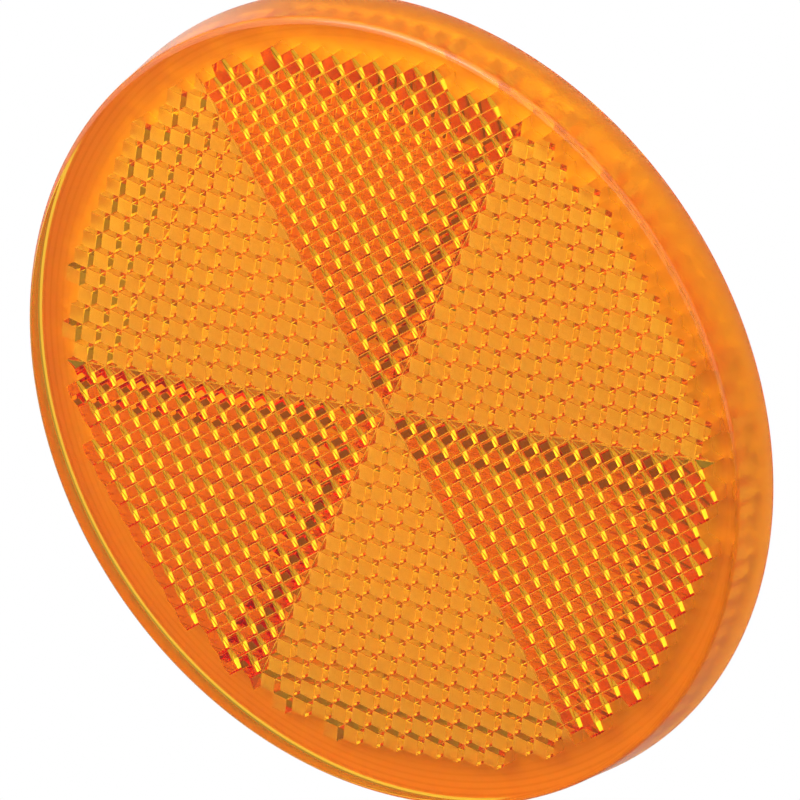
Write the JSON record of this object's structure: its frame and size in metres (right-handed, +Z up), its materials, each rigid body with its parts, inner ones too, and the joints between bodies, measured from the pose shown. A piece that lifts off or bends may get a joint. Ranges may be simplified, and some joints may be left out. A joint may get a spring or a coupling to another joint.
{
  "type": "reflector",
  "caption": "Round amber stick-on reflector: clear lens over a field of corner-cube prisms in alternating sectors, sealed by a back plate with an adhesive foam pad.",
  "frame": {"origin": "centre of the foam pad's rear face, the face that is stuck on", "axes": "+Y out of the rear of the pad, -Y out of the lens front, +Z up, +X to the right seen from the front"},
  "size_m": [0.0816, 0.0079, 0.0816],
  "materials": {
    "amber_acrylic": "clear amber acrylic, polished",
    "grey_abs": "light grey ABS, fine moulded grain",
    "foam": "closed-cell foam tape"
  },
  "bodies": {
    "root": {"lens": "amber_acrylic", "back_plate": "grey_abs", "adhesive_pad": "foam"}
  },
  "joints": []
}
